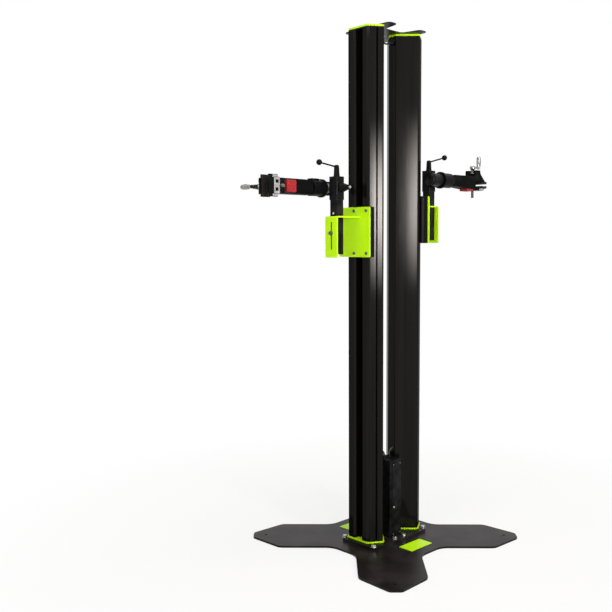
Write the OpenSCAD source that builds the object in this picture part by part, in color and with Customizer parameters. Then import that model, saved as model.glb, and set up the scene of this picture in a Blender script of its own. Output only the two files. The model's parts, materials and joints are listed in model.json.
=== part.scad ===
// Twin column bicycle lift: two hollow columns stand back to back on one floor plate,
// and each carries a sliding carriage with a post, a turning arm and a tube clamp.
// X runs along the line of the two columns, Z is up, the origin is on the floor at the middle.

/* [Floor plate] */
// Reach of each arm of the plate from the middle to its tip
plate_reach = 530; // [480:5:620]
// Width of each arm
arm_w = 248; // [200:2:300]
// Width of the flat end of each arm
tip_w = 46; // [30:2:80]
// Length over which an arm narrows to its tip
tip_taper = 110; // [80:2:150]
// Distance from the middle at which the notch between two arms starts
notch_reach = 210; // [190:2:260]
// Thickness of the plate
plate_t = 8; // [6:1:12]
// Distance of the anchor holes from the middle
anchor_reach = 480; // [430:5:500]
// Diameter of the anchor holes
anchor_d = 11; // [9:0.5:14]

/* [Column flange] */
// Length of the flange along the line of the columns
flange_l = 332; // [328:2:380]
// Width of the flange
flange_w = 180; // [176:2:220]
// Thickness of the flange
flange_t = 10; // [8:1:16]
// Size of the cut corners of the flange
flange_cut = 16; // [8:1:24]
// Across flats of the flange bolts
bolt_af = 17; // [13:1:19]

/* [Columns] */
// Length of each column extrusion
column_h = 1950; // [1800:10:2100]
// Widest part of the column
column_w = 166; // [160:1:170]
// Depth of the column from its back to its front face
column_d = 112; // [108:1:118]
// Width of the flat back
back_w = 36; // [28:1:44]
// Width of the front face
front_w = 110; // [100:1:116]
// Wall of the extrusion
wall = 6; // [4:0.5:7]
// Width of the guide channel in the front
channel_w = 30; // [26:0.5:34]
// Depth of the guide channel
channel_d = 16; // [14:0.5:20]
// Width of the slot in the floor of the channel
slot_w = 14; // [12:0.5:18]
// How far the rounded lips stand out beside the channel
lip_d = 6; // [3:0.5:8]
// Width of the groove along each front flank
groove_w = 7; // [5:0.5:9]
// Depth of that groove
groove_d = 4; // [2:0.5:5]
// Space between the backs of the two columns
column_gap = 80; // [74:1:90]
// Thickness of the plate under each column
foot_t = 14; // [10:1:18]
// How far that plate stands out round the column
foot_rim = 5; // [2:0.5:6]
// Thickness of the cap on each column
cap_t = 10; // [6:1:14]

/* [Top plate] */
// Half the length of the top plate, from column to column
top_out = 112; // [108:1:120]
// Reach of its four tabs beside the columns
top_side = 114; // [106:1:122]
// Half the width of its waist
top_waist = 38; // [34:1:44]
// Thickness of the top plate
top_t = 4; // [3:0.5:6]

/* [Drive] */
// Diameter of the lead screw
screw_d = 20; // [16:1:24]
// Distance of the lead screw from the back of its column
screw_in = 56; // [50:1:60]
// Diameter of the drive motor
motor_d = 56; // [48:1:60]
// Height of the drive motor
motor_h = 170; // [120:5:220]
// Height of the top bearing
bearing_h = 22; // [16:1:30]
// Width of the nut block
nut_w = 40; // [34:1:44]
// Height of the nut block
nut_h = 50; // [40:1:60]

/* [Carriage and bracket] */
// Height of the bottom of the left carriage above the floor
left_height = 1134; // [400:10:1500]
// Height of the bottom of the right carriage above the floor
right_height = 1184; // [400:10:1500]
// Height of the carriage and of its bracket plate
carriage_h = 187; // [170:1:220]
// Width of the carriage
carriage_w = 148; // [140:1:160]
// Thickness of the carriage in front of the lips
carriage_t = 15; // [12:1:20]
// Width of the bracket plate
bracket_w = 156; // [150:1:170]
// Sheet thickness of the bracket
sheet_t = 5; // [4:0.5:6]
// Width of the folded strip that holds the post
strip_w = 60; // [54:1:70]
// Height of the top of the folded strip above the bottom of the bracket
strip_h = 152; // [130:1:165]
// Distance of the post from the face of the bracket plate
post_out = 94; // [80:1:110]
// Width of the slot in the end of the strip
strip_slot_w = 9; // [8.5:0.5:12]
// Length of that slot
strip_slot_l = 100; // [80:1:110]

/* [Post and head] */
// Side of the square post
post_w = 34; // [30:1:36]
// Wall of the post
post_wall = 3; // [2:0.5:4]
// Height of the arm axis above the bottom of the bracket
axis_h = 256; // [246:1:270]
// Offset of the arm axis to the side of the post
axis_side = 56; // [56:1:60]
// Side of the head block
head_w = 40; // [40:1:42]
// Height of the head block above the arm axis
head_above = 41; // [36:1:48]
// Height of the head block below the arm axis
head_below = 44; // [38:1:50]
// Outside diameter of the arm housing
housing_d = 52; // [50:1:54]
// Distance from the back of the housing to the post axis
housing_back = 60; // [56:1:64]
// Distance from the front of the housing back to the post axis
housing_end = 4; // [2:1:8]

/* [Arm and clamp] */
// Diameter of the arm shaft
shaft_d = 40; // [34:1:42]
// How far the left arm is pulled out of its housing
left_out = 22; // [0:1:28]
// How far the right arm is pulled out of its housing
right_out = 0; // [0:1:28]
// Length of the collar
collar_l = 66; // [54:1:72]
// Diameter of the collar
collar_d = 60; // [54:1:62]
// Diameter of the flange on the collar
rim_d = 68; // [64:1:70]
// Distance from the post axis to the mouth of the clamp, with the arm pushed in
mouth_at = 216; // [212:1:220]
// Distance from the post axis to the clamp screw, with the arm pushed in
spindle_at = 230; // [226:1:234]
// Reach of the clamp from the post axis to its nose, with the arm pushed in
nose_at = 284; // [278:1:296]
// Height of the clamp body
body_h = 54; // [50:1:58]
// Largest tube that the clamp takes
tube_d = 40; // [36:1:44]
// Width of the jaws
jaw_w = 78; // [66:1:86]
// Thickness of each jaw pad
pad_t = 6; // [4:0.5:8]
// Gap between the pads of the left clamp
left_grip = 30; // [8:1:40]
// Gap between the pads of the right clamp
right_grip = 8; // [8:1:40]
// Diameter of the clamp screw
spindle_d = 12; // [10:1:14]
// Radius of the crank
crank_r = 44; // [38:1:48]
// Length of the crank grip
grip_l = 40; // [34:1:48]

/* [Lever and knob] */
// Height of the lever hub above the head
hub_h = 40; // [34:1:48]
// Diameter of the lever hub
hub_d = 17; // [15:1:20]
// Reach of the lever to the middle of its ball
lever_reach = 64; // [54:1:74]
// Rise of the lever over that reach
lever_rise = 18; // [10:1:24]
// Diameter of the lever ball
ball_d = 22; // [18:1:26]
// Length of the pivot knob
knob_l = 44; // [38:1:50]
// Diameter of the pivot knob
knob_d = 36; // [30:1:40]

/* [Control box] */
// Width of the control box along the line of the columns
box_l = 66; // [60:1:70]
// Width of the control box across that line
box_w = 104; // [90:1:120]
// Height of the control box
box_h = 310; // [260:5:360]
// Diameter of the cables
cable_d = 6.5; // [5:0.5:6.5]

/* [Hidden] */
$fn = 48;

// Clearances: turning fits, sliding faces and free space
running = 0.05;
sliding = 0.3;
free = 1.5;

// Colours of the finishes
black = "#1d1d1f";
lime = "#b4e41a";
silver = "#c6c9cd";
steel = "#a9abad";
red = "#d2262c";
rubber = "#3a2023";
brass = "#b08d4a";
iron = "#4a4d52";
nylon = "#e8e6df";
sheath = "#101012";

// Places along the column, outward from the middle
column_back = column_gap / 2;
column_front = column_back + column_d;
wide_x = column_back + (column_w - back_w) / 2;
lip_x = column_front + lip_d;
channel_x = column_front - channel_d;
cavity_x = channel_x - wall;
screw_x = column_back + screw_in;
carriage_back = lip_x + free;
bracket_x = carriage_back + carriage_t;
face_x = bracket_x + sheet_t;
post_x = face_x + post_out;
end_gap = 8;
end_x = post_x + post_w / 2 + end_gap;

// Heights
flange_z = plate_t;
foot_z = flange_z + flange_t;
column_z = foot_z + foot_t;
column_top = column_z + column_h;
top_z = column_top + cap_t;

// The front flank of the column as a direction and an outward normal
flank = [wide_x - column_front, (column_w - front_w) / 2];
flank_u = flank / norm(flank);
flank_n = [flank_u.y, -flank_u.x];

// Places on one lift
function turn(side) = side == "left" ? 180 : 0;
function height(side) = side == "left" ? left_height : right_height;
function roll(side) = side == "left" ? 90 : 0;
function grip(side) = side == "left" ? left_grip : right_grip;
function out(side) = side == "left" ? left_out : right_out;

module on_column(side) { rotate([0, 0, turn(side)]) children(); }
module on_carriage(side) { on_column(side) translate([0, 0, height(side)]) children(); }
module on_post(side) { on_carriage(side) translate([post_x, 0, 0]) children(); }
module on_axis(side) {
    on_post(side) translate([0, -axis_side, axis_h]) rotate([roll(side), 0, 0]) children();
}
module on_arm(side) { on_axis(side) translate([out(side), 0, 0]) children(); }
module on_jaw(side) { on_arm(side) translate([0, 0, grip(side)]) children(); }

// Outline tools: a corner is [x, y, radius]
function unit(v) = v / norm(v);
function xy(p) = [p.x, p.y];
function turn_between(a, b) = let (d = b - a) d > 180 ? d - 360 : d < -180 ? d + 360 : d;
function fillet(a, b, c, r, n) =
    let (d1 = unit(a - b), d2 = unit(c - b), half = acos(d1 * d2) / 2,
         m = b + unit(d1 + d2) * r / sin(half),
         s = b + d1 * r / tan(half) - m, e = b + d2 * r / tan(half) - m,
         a0 = atan2(s.y, s.x), sweep = turn_between(a0, atan2(e.y, e.x)))
    [for (i = [0 : n]) m + r * [cos(a0 + sweep * i / n), sin(a0 + sweep * i / n)]];
function rounded(p, n = 5) = let (k = len(p))
    [for (i = [0 : k - 1]) let (b = p[i])
        each b[2] > 0 ? fillet(xy(p[(i + k - 1) % k]), xy(b), xy(p[(i + 1) % k]), b[2], n) : [xy(b)]];
function grown(p, g) = let (k = len(p))
    [for (i = [0 : k - 1])
        let (b = xy(p[i]), d1 = unit(xy(p[(i + k - 1) % k]) - b), d2 = unit(xy(p[(i + 1) % k]) - b),
             m = b - unit(d1 + d2) * g / sin(acos(d1 * d2) / 2))
        [m.x, m.y, p[i][2] + g]];
function mirrored(p) = [for (i = [len(p) - 1 : -1 : 0]) [p[i].x, -p[i].y, p[i][2]]];
function spun(p, a) = [for (q = p) [q.x * cos(a) - q.y * sin(a), q.x * sin(a) + q.y * cos(a), q[2]]];

// Solids from an outline: standing on z, across x, across y
module slab_z(z, t, p) { translate([0, 0, z]) linear_extrude(t) polygon(rounded(p)); }
module slab_x(x, t, p) { translate([x, 0, 0]) rotate([90, 0, 90]) linear_extrude(t) polygon(rounded(p)); }
module slab_y(y, t, p) { translate([0, y + t, 0]) rotate([90, 0, 0]) linear_extrude(t) polygon(rounded(p)); }
module rod_x(x, l, d) { translate([x, 0, 0]) rotate([0, 90, 0]) cylinder(h = l, d = d); }
module rod_y(y, l, d) { translate([0, y, 0]) rotate([-90, 0, 0]) cylinder(h = l, d = d); }
module rod_z(z, l, d) { translate([0, 0, z]) cylinder(h = l, d = d); }

// A plate with four arms along the diagonals
function cross_arm(reach, taper, w, tip, notch, r_end, r_notch) =
    [[notch, -w / 2, r_notch], [reach - taper, -w / 2, r_end], [reach, -tip / 2, r_end / 2],
     [reach, tip / 2, r_end / 2], [reach - taper, w / 2, r_end], [notch, w / 2, r_notch]];
function cross_plate(arm) = [for (k = [0 : 3]) each spun(arm, 45 + 90 * k)];

// Floor plate with its anchor holes and the holes for the flange bolts
plate_r = 40;
notch_r = 70;
anchors = [for (k = [0 : 3]) anchor_reach * [cos(45 + 90 * k), sin(45 + 90 * k)]];
bolt_d = 10;
bolt_in = 14;
bolt_hole_d = bolt_d + 4 * running;
bolt_mid_x = 27;
bolt_mid_y = flange_w / 2 - bolt_in;
bolt_places = [for (sx = [-1, 1], sy = [-1, 1], far = [0, 1])
    far == 1 ? [sx * (flange_l / 2 - bolt_in), sy * bolt_mid_y]
             : [sx * bolt_mid_x, sy * bolt_mid_y]];
module bolt_holes(z, t) {
    for (p = bolt_places) translate([p.x, p.y, z - 1]) cylinder(h = t + 2, d = bolt_hole_d);
}
module floor_plate() {
    color(black) difference() {
        slab_z(0, plate_t, cross_plate(cross_arm(plate_reach, tip_taper, arm_w, tip_w, notch_reach,
            plate_r, notch_r)));
        for (p = anchors) translate([p.x, p.y, -1]) cylinder(h = plate_t + 2, d = anchor_d);
        bolt_holes(0, plate_t);
    }
}

// Two plain plates beside the flange
label_l = 124;
label_w = 64;
label_t = 1.5;
label_gap = 38;
module label_plates() {
    color(lime) for (k = [0, 1]) rotate([0, 0, 180 * k])
        translate([-label_l / 2, -flange_w / 2 - label_gap - label_w, plate_t])
            cube([label_l, label_w, label_t]);
}

// Flange that carries both columns
module column_flange() {
    corner = [[flange_l / 2, flange_w / 2 - flange_cut, 0], [flange_l / 2 - flange_cut, flange_w / 2, 0]];
    left_corner = [for (i = [1, 0]) [-corner[i].x, corner[i].y, 0]];
    half = concat(corner, left_corner);
    color(black) difference() {
        slab_z(flange_z, flange_t, concat(half, mirrored(half)));
        bolt_holes(flange_z, flange_t);
    }
}

// Hex bolts with washers, through the flange into the floor plate
washer_d = 21;
washer_t = 2;
bolt_head_h = 7;
bolt_short = 2;
module flange_bolts() {
    shank = flange_t + plate_t - bolt_short;
    color(silver) for (p = bolt_places) translate([p.x, p.y, foot_z]) {
        rod_z(0, washer_t, washer_d);
        rod_z(washer_t, bolt_head_h, bolt_af / cos(30), $fn = 6);
        rod_z(-shank, shank + washer_t, bolt_d);
    }
}

// Column outline, its plate at the foot and its cap
front_r = 6;
wide_r = 8;
back_r = 5;
function column_corners(front, half_front) =
    [[front, half_front, front_r], [wide_x, column_w / 2, wide_r], [column_back, back_w / 2, back_r],
     [column_back, -back_w / 2, back_r], [wide_x, -column_w / 2, wide_r], [front, -half_front, front_r]];
end_outline = column_corners(lip_x, front_w / 2 - lip_d);

module foot_plate(side) {
    color(lime) on_column(side) slab_z(foot_z, foot_t, grown(end_outline, foot_rim));
}
// The cap screws lie in the strip of the top plate that covers the cap, beside the diagonal
cap_screw_d = 5;
cap_screw_in = 6;
cap_screw_along = 110;
cap_screw_aside = (column_back - back_w / 2) / sqrt(2) + cap_screw_in;
cap_screws = [cap_screw_along + cap_screw_aside, cap_screw_along - cap_screw_aside] / sqrt(2);
cap_floor = 2;
module cap(side) {
    color(lime) on_column(side) difference() {
        slab_z(column_top, cap_t, end_outline);
        for (s = [-1, 1]) translate([cap_screws.x, s * cap_screws.y, column_top + cap_floor])
            cylinder(h = cap_t, d = cap_screw_d + 2 * running);
    }
}

// Hollow column: outside from the slot to the back, then the cavity, on each side
lip_start = 8;
lip_end = 11;
lip_r = 5;
edge_r = 1.5;
cavity_front = front_w / 2 - 2 * wall;
groove_mid = [column_front, front_w / 2] + flank / 2;
function groove_point(along, deep) = let (p = groove_mid + flank_u * along - flank_n * deep) [p.x, p.y, 0];
column_outside = [
    [channel_x, slot_w / 2, 0], [channel_x, channel_w / 2, edge_r], [column_front, channel_w / 2, edge_r],
    [lip_x, channel_w / 2 + lip_start, lip_r], [lip_x, front_w / 2 - lip_end, lip_r],
    [column_front, front_w / 2, lip_r],
    groove_point(-groove_w / 2, 0), groove_point(-groove_w / 2, groove_d),
    groove_point(groove_w / 2, groove_d), groove_point(groove_w / 2, 0),
    [wide_x, column_w / 2, wide_r], [column_back, back_w / 2, back_r]];
cavity_ring = grown(column_corners(column_front, front_w / 2), -wall);
column_inside = [
    [cavity_x, slot_w / 2, 0], [cavity_x, cavity_front, edge_r],
    [cavity_ring[1].x, cavity_ring[1].y, edge_r], [cavity_ring[2].x, cavity_ring[2].y, edge_r]];
column_path = concat(column_outside, mirrored(column_outside), [for (p = column_inside) [p.x, -p.y, p[2]]],
    [for (i = [len(column_inside) - 1 : -1 : 0]) column_inside[i]]);
module column(side) {
    color(black) on_column(side) slab_z(column_z, column_h, column_path);
}

// Top plate across both caps and its screws
top_tab_w = 44;
top_neck = 50;
top_r = 14;
top_notch_r = 18;
top_edge = [[top_out, top_side, top_r], [top_out - top_tab_w, top_side, top_r],
    [top_neck, top_waist, top_notch_r]];
function both_ends(p) = concat(p, [for (i = [len(p) - 1 : -1 : 0]) [-p[i].x, p[i].y, p[i][2]]]);
cap_head_d = 9;
cap_head_h = 3;
module top_plate() {
    color(black) difference() {
        slab_z(top_z, top_t, concat(both_ends(top_edge), spun(both_ends(top_edge), 180)));
        for (sx = [-1, 1], sy = [-1, 1]) translate([sx * cap_screws.x, sy * cap_screws.y, top_z - 1])
            cylinder(h = top_t + 2, d = cap_screw_d + 2 * running);
    }
}
module top_plate_screws() {
    color(steel) for (sx = [-1, 1], sy = [-1, 1]) translate([sx * cap_screws.x, sy * cap_screws.y, top_z]) {
        rod_z(top_t, cap_head_h, cap_head_d);
        rod_z(-cap_t + cap_floor + 1, cap_t - cap_floor - 1 + top_t, cap_screw_d);
    }
}

// Drive inside the column: motor, lead screw and top bearing
screw_deep = 28;
screw_end_gap = 3;
motor_neck_h = 20;
motor_neck_d = motor_d - 12;
bearing_d = motor_d - 8;
module motor(side) {
    color(iron) on_column(side) translate([screw_x, 0, column_z]) difference() {
        union() {
            rod_z(0, motor_h - motor_neck_h, motor_d);
            rod_z(motor_h - motor_neck_h, motor_neck_h, motor_neck_d);
        }
        rod_z(motor_h - screw_deep - screw_end_gap, screw_deep + screw_end_gap + 1, screw_d + 2 * running);
    }
}
module lead_screw(side) {
    low = column_z + motor_h - screw_deep;
    color(steel) on_column(side) translate([screw_x, 0, 0])
        rod_z(low, column_top - screw_end_gap - low, screw_d);
}
module top_bearing(side) {
    color(steel) on_column(side) translate([screw_x, 0, column_top - bearing_h]) difference() {
        rod_z(0, bearing_h, bearing_d);
        rod_z(-1, bearing_h + 2, screw_d + 2 * running);
    }
}

// Carriage that wraps the lips of the column
cheek = 14;
cheek_t = 9;
cheek_gap = 1.8;
cheek_back = 8;
carriage_r = 4;
inner_r = 3;
screw_in_y = 12;
screw_in_z = 14;
fix_d = 6;
fix_deep = 11;
fix_places = [for (sy = [-1, 1], z = [screw_in_z, carriage_h - screw_in_z])
    [sy * (carriage_w / 2 - screw_in_y), z]];
module fix_holes(x, l) {
    for (p = fix_places) translate([x, p.x, p.y]) rod_x(0, l, fix_d + 2 * running);
}
module carriage(side) {
    corner = [column_front, front_w / 2] + flank_n * cheek_gap;
    tip = corner + flank_u * cheek;
    outer = tip + flank_n * cheek_t;
    half = [[bracket_x, carriage_w / 2, carriage_r], [carriage_back - cheek_back, carriage_w / 2, carriage_r],
        [outer.x, outer.y, edge_r], [tip.x, tip.y, edge_r], [corner.x, corner.y, inner_r],
        [carriage_back, front_w / 2 - lip_end + 1, inner_r]];
    color(black) on_carriage(side) difference() {
        slab_z(0, carriage_h, concat(half, mirrored(half)));
        fix_holes(bracket_x - fix_deep, fix_deep + 1);
    }
}
shoe_h = 50;
shoe_in = 4;
shoe_r = 3;
module glide_shoes(side) {
    w = channel_w / 2 - sliding;
    x = channel_x + sliding;
    face = [[x, -w, shoe_r], [carriage_back, -w, 0], [carriage_back, w, 0], [x, w, shoe_r]];
    color(nylon) on_carriage(side) for (z = [shoe_in, carriage_h - shoe_in - shoe_h]) slab_z(z, shoe_h, face);
}
lug_h = 40;
lug_gap = 1;
module lead_nut(side) {
    lug_w = slot_w - 2 * lug_gap;
    color(brass) on_carriage(side) translate([0, 0, carriage_h / 2]) difference() {
        union() {
            translate([screw_x - nut_w / 2, -nut_w / 2, -nut_h / 2]) cube([nut_w, nut_w, nut_h]);
            translate([screw_x, -lug_w / 2, -lug_h / 2]) cube([carriage_back - screw_x, lug_w, lug_h]);
        }
        translate([screw_x, 0, 0]) rod_z(-nut_h, 2 * nut_h, screw_d + 2 * running);
    }
}

// Folded sheet bracket: a plate on the carriage and a strip that holds the post
slot_top = 22;
bend_r = 3;
plate_corner_r = 5;
module bracket(side) {
    w = bracket_w / 2;
    r = plate_corner_r;
    plate = [[-w, 0, r], [w, 0, r], [w, carriage_h, r], [-w, carriage_h, r]];
    strip = [[face_x, strip_h, 0], [face_x, strip_h - sheet_t, 0], [end_x, strip_h - sheet_t, bend_r],
        [end_x, 0, 0], [end_x + sheet_t, 0, 0], [end_x + sheet_t, strip_h, bend_r + sheet_t]];
    hole = post_w + 2 * sliding;
    color(lime) on_carriage(side) difference() {
        union() {
            slab_x(bracket_x, sheet_t, plate);
            slab_y(-strip_w / 2, strip_w, strip);
        }
        translate([post_x - hole / 2, -hole / 2, strip_h - 2 * sheet_t]) cube([hole, hole, 3 * sheet_t]);
        translate([end_x - 1, -strip_slot_w / 2, strip_h - slot_top - strip_slot_l])
            cube([sheet_t + 2, strip_slot_w, strip_slot_l]);
        fix_holes(bracket_x - 1, sheet_t + 2);
    }
}
post_bolt_d = 8;
post_bolt_low = 40;
post_bolt_af = 13;
post_bolt_h = 5.5;
post_washer_d = 18;
post_washer_t = 1.5;
fix_head_h = 4;
module bracket_screws(side) {
    color(steel) on_carriage(side) {
        for (p = fix_places) translate([face_x, p.x, p.y]) {
            rod_x(0, fix_head_h, 2 * fix_d);
            rod_x(-sheet_t - fix_deep + 1, sheet_t + fix_deep - 1, fix_d);
        }
        translate([0, 0, strip_h - slot_top - post_bolt_low]) {
            rod_x(end_x - end_gap, end_gap + sheet_t, post_bolt_d);
            rod_x(end_x + sheet_t, post_washer_t, post_washer_d);
            rod_x(end_x + sheet_t + post_washer_t, post_bolt_h, post_bolt_af / cos(30), $fn = 6);
        }
    }
}

// Square post, and the head block with the arm housing at its side
post_low = 12;
socket_top = 8;
stud_d = 10;
stud_deep = 20;
knob_stud_d = 8;
knob_stud_l = 12;
bore_end_gap = 2;
socket_gap = 0.2;
head_r = 3;
web_back = 20;
web_in = 8;
module post(side) {
    inner = post_w - 2 * post_wall;
    color(black) on_post(side) translate([0, 0, post_low]) difference() {
        translate([-post_w / 2, -post_w / 2, 0]) cube([post_w, post_w, axis_h - socket_top - post_low]);
        translate([-inner / 2, -inner / 2, -1]) cube([inner, inner, axis_h]);
    }
}
module head(side) {
    r = head_r;
    h = head_w / 2;
    socket = post_w + 2 * socket_gap;
    block = [[-h, -h, r], [h, -h, r], [h, h, r], [-h, h, r]];
    web = housing_d / 2 - web_in;
    color(black) on_post(side) translate([0, 0, axis_h]) difference() {
        union() {
            slab_z(-head_below, head_below + head_above, block);
            translate([0, -axis_side, 0]) rod_x(-housing_back, housing_back - housing_end, housing_d);
            translate([-web_back, -axis_side, -web]) cube([web_back - housing_end, axis_side, 2 * web]);
        }
        translate([-socket / 2, -socket / 2, -head_below - 1])
            cube([socket, socket, head_below + 1 - socket_top]);
        translate([0, -axis_side, 0])
            rod_x(-housing_back - 1, housing_back - housing_end + 2, shaft_d + 2 * running);
        rod_z(head_above - stud_deep - bore_end_gap, stud_deep + bore_end_gap + 1, stud_d + 2 * running);
        if (side == "left")
            rod_y(h - knob_stud_l - bore_end_gap, knob_stud_l + bore_end_gap + 1, knob_stud_d + 2 * running);
    }
}

// Locking lever on the head and its ball
rod_d = 6;
rod_below_top = 5;
rod_from = hub_h - rod_below_top;
ball_seat = 8;
lever_tilt = atan2(lever_rise, lever_reach);
module on_lever(side) {
    on_post(side) translate([0, 0, axis_h + head_above + sliding]) rotate([0, 0, -45]) children();
}
module lever(side) {
    l = norm([lever_reach, lever_rise]) - ball_d / 2 + ball_seat;
    color(black) on_lever(side) {
        rod_z(0, hub_h, hub_d);
        rod_z(-stud_deep, stud_deep + 1, stud_d);
        translate([0, 0, rod_from]) rotate([0, -lever_tilt, 0]) rod_x(0, l, rod_d);
    }
}
module lever_ball(side) {
    color(black) on_lever(side) translate([0, 0, rod_from]) rotate([0, -lever_tilt, 0])
        translate([norm([lever_reach, lever_rise]), 0, 0]) difference() {
            sphere(d = ball_d);
            rod_x(-ball_d, ball_d / 2 + ball_seat, rod_d + 2 * running);
        }
}
knob_neck = 8;
knob_neck_d = 18;
knob_end_d = 14;
knob_tip = 5;
flutes = 6;
flute_d = 12;
flute_in = 3;
module knob(side) {
    color(black) on_post(side) translate([0, head_w / 2 + sliding, axis_h]) rotate([-90, 0, 0]) {
        rod_z(-knob_stud_l, knob_stud_l + 1, knob_stud_d);
        rod_z(0, knob_neck, knob_neck_d);
        translate([0, 0, knob_neck]) difference() {
            cylinder(h = knob_l - knob_neck, d1 = knob_d, d2 = knob_end_d);
            for (k = [0 : flutes - 1]) rotate([0, 0, 360 * k / flutes])
                translate([(knob_d + flute_d) / 2 - flute_in, 0, -1]) cylinder(h = knob_l, d = flute_d);
        }
        rod_z(knob_l, knob_tip, knob_stud_d);
    }
}

// Arm shaft, which slides in the housing, the cap behind it, and the collar that turns on it with the clamp
shaft_back = housing_back - 5;
collar_gap = 1;
collar_at = collar_gap - housing_end;
cap_l = 12;
cap_rim = 4;
collar_floor = 8;
module arm_shaft(side) {
    color(silver) on_arm(side) rod_x(-shaft_back, shaft_back + collar_at + collar_l - collar_floor, shaft_d);
}
module shaft_cap(side) {
    color(black) on_axis(side) translate([-housing_back - cap_l, 0, 0]) rotate([0, 90, 0]) rotate([0, 0, 22.5])
        cylinder(h = cap_l, d = shaft_d + 2 * cap_rim, $fn = 8);
}
rim_l = 8;
rim_in = 2;
module collar(side) {
    color(black) on_arm(side) difference() {
        union() {
            rod_x(collar_at, collar_l, collar_d);
            rod_x(collar_at + rim_in, rim_l, rim_d);
        }
        rod_x(collar_at - 1, collar_l - collar_floor + 1, shaft_d + 2 * running);
    }
}

// Clamp body with the fixed lower nose, drawn in the plane of the arm and the clamp screw
pad_low = -15;
nose_t = 12;
seat_low = pad_low - pad_t;
nose_low = seat_low - nose_t;
body_at = collar_at + collar_l;
button_l = 46;
button_w = 42;
button_at = mouth_at - 29;
button_deep = 12;
button_out = 10;
button_travel = 5;
button_r = 5;
button_stop = 1;
body_low = -28;
neck_half = 24;
body_bend = 20;
body_r = 5;
neck_l = 50;
nose_slope = 18;
nose_lip = 4;
jaw_h = 38;
jaw_slope = 34;
ear_h = 14;
ear_l = 18;
jaw_lip = 6;
jaw_plate_t = 4;
fork_gap = 28;
fork_floor = 12;
pad_in = 6;
pad_from = 12;
pad_at = spindle_at + pad_from;
pad_l = nose_at - pad_in - pad_at;
mouth_high = 26;
module clamp_body(side) {
    profile = [[body_at, -neck_half, body_r], [body_at + neck_l, -neck_half, body_bend],
        [button_at - button_l / 2 - body_r, body_low, body_r], [mouth_at - body_r, body_low, body_r],
        [mouth_at + body_r, nose_low, body_r], [nose_at - nose_slope, nose_low, body_r],
        [nose_at, seat_low - nose_lip, edge_r], [nose_at, seat_low, 0], [mouth_at, seat_low, 0],
        [mouth_at, mouth_high, body_r], [body_at + neck_l, neck_half, body_bend],
        [body_at, neck_half, body_r]];
    color(black) on_arm(side) difference() {
        union() {
            slab_y(-body_h / 2, body_h, profile);
            translate([pad_at, -jaw_w / 2, seat_low - jaw_plate_t]) cube([pad_l, jaw_w, jaw_plate_t]);
        }
        translate([button_at - button_l / 2 - sliding, -button_w / 2 - sliding, body_low - 1])
            cube([button_l + 2 * sliding, button_w + 2 * sliding, 1 + button_deep]);
        translate([spindle_at, 0, 0]) rod_z(nose_low - 1, nose_t + 2, spindle_d + 2 * running);
    }
}
module release_button(side) {
    r = button_r;
    low = body_low - button_out;
    face = [[-button_l / 2, -button_w / 2, r], [button_l / 2, -button_w / 2, r],
        [button_l / 2, button_w / 2, r], [-button_l / 2, button_w / 2, r]];
    color(red) on_arm(side) translate([button_at, 0, 0])
        slab_z(low, button_out + button_deep - button_travel - button_stop, face);
}
// Each pad has a shallow groove for the tube along the middle of its inner face
groove_half = 10;
groove_deep = 2.5;
module pad(back, inner) {
    mid = pad_at + pad_l / 2;
    deep = inner + (back < inner ? -groove_deep : groove_deep);
    slab_y(-jaw_w / 2, jaw_w, [[pad_at, back, 0], [pad_at + pad_l, back, 0], [pad_at + pad_l, inner, 0],
        [mid + groove_half, inner, 0], [mid, deep, 0], [mid - groove_half, inner, 0], [pad_at, inner, 0]]);
}
module fixed_pad(side) { color(rubber) on_arm(side) pad(seat_low, pad_low); }
module moving_pad(side) { color(rubber) on_jaw(side) pad(jaw_low, pad_low); }

// Moving jaw, which slides along the clamp screw in front of the body, with an ear at each side of the crank
jaw_low = pad_low + pad_t;
module moving_jaw(side) {
    low = jaw_low;
    high = jaw_low + jaw_h;
    start = mouth_at + sliding;
    top = high + ear_h;
    profile = [[start, low, 0], [nose_at, low, 0], [nose_at, low + jaw_lip, edge_r],
        [nose_at - jaw_slope, high, body_r], [spindle_at + ear_l, top, body_r], [start, top, body_r]];
    color(black) on_jaw(side) difference() {
        union() {
            slab_y(-body_h / 2, body_h, profile);
            translate([pad_at, -jaw_w / 2, low]) cube([pad_l, jaw_w, jaw_plate_t]);
        }
        translate([pad_at, -fork_gap / 2, low + fork_floor]) cube([nose_at, fork_gap, jaw_h + ear_h]);
        translate([mouth_at, -fork_gap / 2, high]) cube([nose_at, fork_gap, ear_h + 1]);
        translate([spindle_at, 0, 0]) rod_z(low - 1, jaw_h + 2, spindle_d + 2 * running);
    }
}

// Clamp screw with its crank, which turns in the moving jaw
stem_l = 22;
ring_d = 20;
ring_t = 4;
crank_hub_d = 24;
crank_t = 10;
crank_bar = 12;
crank_root = 10;
grip_pin_d = 8;
grip_end_d = 13;
grip_end_t = 3;
crank_z = jaw_low + jaw_h + stem_l;
module crank(side) {
    end = nose_low - tube_d;
    grip_end = crank_z + crank_t + grip_l + 2 * sliding;
    color(silver) on_jaw(side) translate([spindle_at, 0, 0]) {
        rod_z(end, crank_z - end, spindle_d);
        rod_z(jaw_low - sliding - ring_t, ring_t, ring_d);
        rod_z(jaw_low + jaw_h + sliding, ring_t, ring_d);
        rod_z(crank_z, crank_t, crank_hub_d);
        slab_z(crank_z, crank_t, [[0, -crank_root, 0], [crank_r, -crank_bar / 2, 0],
            [crank_r, crank_bar / 2, 0], [0, crank_root, 0]]);
        translate([crank_r, 0, 0]) {
            rod_z(crank_z, crank_t, crank_bar);
            rod_z(crank_z, grip_end - crank_z, grip_pin_d);
            rod_z(grip_end, grip_end_t, grip_end_d);
        }
    }
}
grip_d = 20;
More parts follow.
